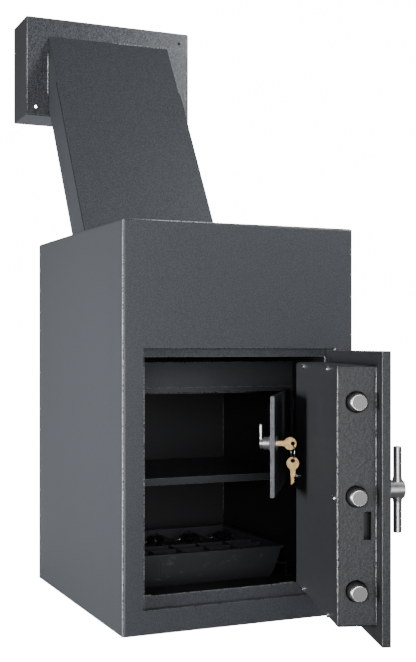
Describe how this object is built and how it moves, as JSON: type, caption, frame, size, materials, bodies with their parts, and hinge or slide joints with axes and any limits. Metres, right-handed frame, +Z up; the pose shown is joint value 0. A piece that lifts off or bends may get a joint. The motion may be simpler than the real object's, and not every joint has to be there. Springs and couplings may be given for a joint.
{
  "type": "through-the-wall depository safe",
  "caption": "Steel depository safe with boltwork door, keyed inner deposit door, cash tray and a sloping chute up to a hooded street-side hopper.",
  "frame": {"origin": "centre of the cabinet's underside, on the floor", "axes": "+Z up, +X to the right of the door seen from the room, +Y from the door towards the wall and the street"},
  "size_m": [0.4, 1.1016, 1.118],
  "materials": {
    "charcoal_coat": "charcoal powder coat with a fine sparkle texture",
    "liner_paint": "dark grey matt paint",
    "barrier_board": "cast barrier board, matt and slightly rough",
    "bright_steel": "turned bright steel",
    "plated_steel": "zinc plated, satin",
    "satin_chrome": "satin chrome",
    "key_brass": "stamped brass, slightly worn",
    "black_plastic": "moulded black plastic, matt",
    "dial_black": "black enamel with white graduations"
  },
  "bodies": {
    "cabinet": {"outer_shell": "charcoal_coat", "base_plate": "charcoal_coat", "back_panel": "charcoal_coat", "board_left": "barrier_board", "board_right": "barrier_board", "board_back": "barrier_board", "board_floor": "barrier_board", "board_ceiling": "barrier_board", "board_front": "barrier_board", "inner_liner": "liner_paint", "door_stop_frame": "charcoal_coat", "deposit_shelf": "charcoal_coat", "header_panel": "charcoal_coat", "locker_upright_left": "charcoal_coat", "locker_upright_right": "charcoal_coat", "chute_sleeve": "charcoal_coat", "chute_duct": "charcoal_coat", "wall_plate": "charcoal_coat", "hood_box": "charcoal_coat", "hopper_ears": "charcoal_coat", "hopper_rod": "bright_steel", "cabinet_hinge_leaves": "charcoal_coat", "inner_hinge_pins": "bright_steel", "tray_stops": "bright_steel"},
    "hinge_pins": {"hinge_pins": "bright_steel"},
    "main_door": {"door_plate": "charcoal_coat", "door_hinge_leaves": "charcoal_coat", "boltwork_housing": "charcoal_coat", "boltwork_cover": "charcoal_coat", "cover_screws": "plated_steel", "bolt_guide_rail": "plated_steel", "handle_escutcheon": "satin_chrome", "dial_ring": "satin_chrome", "lock_case": "plated_steel"},
    "handle": {"t_handle": "satin_chrome", "crank": "plated_steel"},
    "boltwork": {"locking_bolts": "bright_steel", "bolt_carrier": "plated_steel"},
    "dial": {"combination_dial": "dial_black", "lock_wheels": "key_brass"},
    "inner_door": {"inner_door": "charcoal_coat", "lock_cylinder": "satin_chrome", "lock_nut": "satin_chrome"},
    "key_lock": {"lock_plug": "satin_chrome", "lock_cam": "bright_steel", "inner_key": "key_brass"},
    "key_ring": {"key_ring": "bright_steel"},
    "spare_key": {"spare_key": "key_brass"},
    "hopper": {"hopper_door": "charcoal_coat", "hopper_cheeks": "charcoal_coat", "hopper_tray": "charcoal_coat", "hopper_tube": "charcoal_coat", "hopper_counterweight": "bright_steel"},
    "cash_tray": {"cash_tray": "black_plastic", "tray_dividers": "black_plastic", "clip_rod": "bright_steel"},
    "clip_1": {"bill_clip_1": "bright_steel"},
    "clip_2": {"bill_clip_2": "bright_steel"},
    "clip_3": {"bill_clip_3": "bright_steel"},
    "clip_4": {"bill_clip_4": "bright_steel"}
  },
  "joints": [
    {"name": "hinge_pin_turn", "type": "hinge", "parent": "cabinet", "child": "hinge_pins", "pos_m": [0.1733, -0.2583, 0.25], "axis": [0, 0, 1], "range_deg": [-73.1, 0]},
    {"name": "main_door_swing", "type": "hinge", "parent": "hinge_pins", "child": "main_door", "pos_m": [0.1733, -0.2583, 0.25], "axis": [0, 0, 1], "range_deg": [0, 36.9]},
    {"name": "handle_turn", "type": "hinge", "parent": "main_door", "child": "handle", "pos_m": [0.10733, -0.41938, 0.228], "axis": [0.9568, -0.2907, 0], "range_deg": [-45, 45]},
    {"name": "bolt_slide", "type": "slide", "parent": "main_door", "child": "boltwork", "axis": [-0.2907, -0.9568, 0], "range_m": [-0.017, 0.017]},
    {"name": "dial_turn", "type": "hinge", "parent": "main_door", "child": "dial", "pos_m": [0.10733, -0.41938, 0.338], "axis": [0.9568, -0.2907, 0], "continuous": true},
    {"name": "inner_door_swing", "type": "hinge", "parent": "cabinet", "child": "inner_door", "pos_m": [0.16, -0.09, 0.286], "axis": [0, 0, 1], "range_deg": [-57.9, 0]},
    {"name": "key_turn", "type": "hinge", "parent": "inner_door", "child": "key_lock", "pos_m": [0.02172, -0.31608, 0.291], "axis": [0.8471, -0.5314, 0], "range_deg": [0, 90]},
    {"name": "key_ring_swing", "type": "hinge", "parent": "key_lock", "child": "key_ring", "pos_m": [0.04273, -0.32926, 0.291], "axis": [-0.5314, -0.8471, 0], "range_deg": [-12, 12]},
    {"name": "spare_key_swing", "type": "hinge", "parent": "key_ring", "child": "spare_key", "pos_m": [0.04273, -0.32926, 0.265], "axis": [-0.5314, -0.8471, 0], "range_deg": [-8, 20]},
    {"name": "hopper_swing", "type": "hinge", "parent": "cabinet", "child": "hopper", "pos_m": [0, 0.431, 0.964], "axis": [-1, 0, 0], "range_deg": [0, 55]},
    {"name": "tray_lift", "type": "slide", "parent": "cabinet", "child": "cash_tray", "axis": [0, 0, 1], "range_m": [0, 0.05]},
    {"name": "clip_1_lift", "type": "hinge", "parent": "cash_tray", "child": "clip_1", "pos_m": [-0.099, 0.092, 0.08], "axis": [-1, 0, 0], "range_deg": [0, 60]},
    {"name": "clip_2_lift", "type": "hinge", "parent": "cash_tray", "child": "clip_2", "pos_m": [-0.033, 0.092, 0.08], "axis": [-1, 0, 0], "range_deg": [0, 60]},
    {"name": "clip_3_lift", "type": "hinge", "parent": "cash_tray", "child": "clip_3", "pos_m": [0.033, 0.092, 0.08], "axis": [-1, 0, 0], "range_deg": [0, 60]},
    {"name": "clip_4_lift", "type": "hinge", "parent": "cash_tray", "child": "clip_4", "pos_m": [0.099, 0.092, 0.08], "axis": [-1, 0, 0], "range_deg": [0, 60]}
  ],
  "couplings": [
    {"joint": "inner_door_swing", "follows": "hinge_pin_turn", "ratio": 0.792},
    {"joint": "bolt_slide", "follows": "handle_turn", "m_per_rad": 0.0216}
  ]
}
